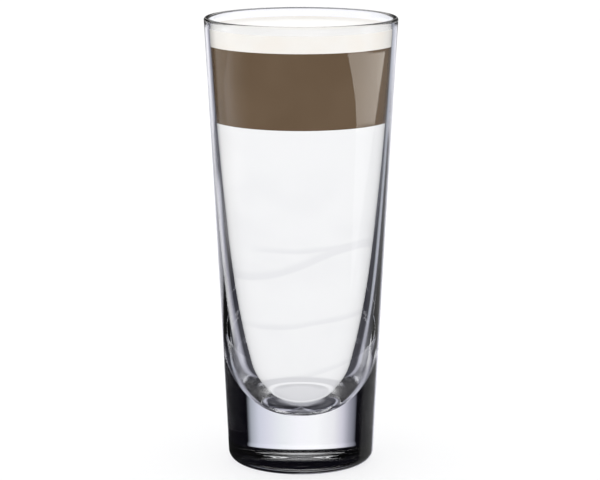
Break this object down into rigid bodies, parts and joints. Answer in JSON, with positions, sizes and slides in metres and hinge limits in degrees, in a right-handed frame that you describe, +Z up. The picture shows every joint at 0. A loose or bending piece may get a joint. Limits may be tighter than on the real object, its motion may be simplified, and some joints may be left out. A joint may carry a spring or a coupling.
{
  "type": "layered chocolate punch in a tall shooter glass",
  "caption": "Tall heavy-footed clear shooter glass filled to the brim with a chocolate punch in level layers: pale milk below, chocolate brown above, cream on top.",
  "frame": {"origin": "centre of the glass's foot, on the surface that it stands on", "axes": "+Z up along the glass's axis; X and Y are alike, because the glass is round"},
  "size_m": [0.0448, 0.0448, 0.105],
  "materials": {
    "clear_glass": "clear fire-polished soda-lime glass, smooth and glossy",
    "pale_milk": "opaque pale milky drink with faint grey wisps, wet and smooth against the glass",
    "chocolate": "opaque milk-chocolate brown drink, wet and smooth against the glass",
    "cream": "thick warm-white cream with a soft wet sheen"
  },
  "bodies": {
    "root": {"glass": "clear_glass", "pale_layer": "pale_milk", "chocolate_layer": "chocolate", "cream_layer": "cream"}
  },
  "joints": []
}
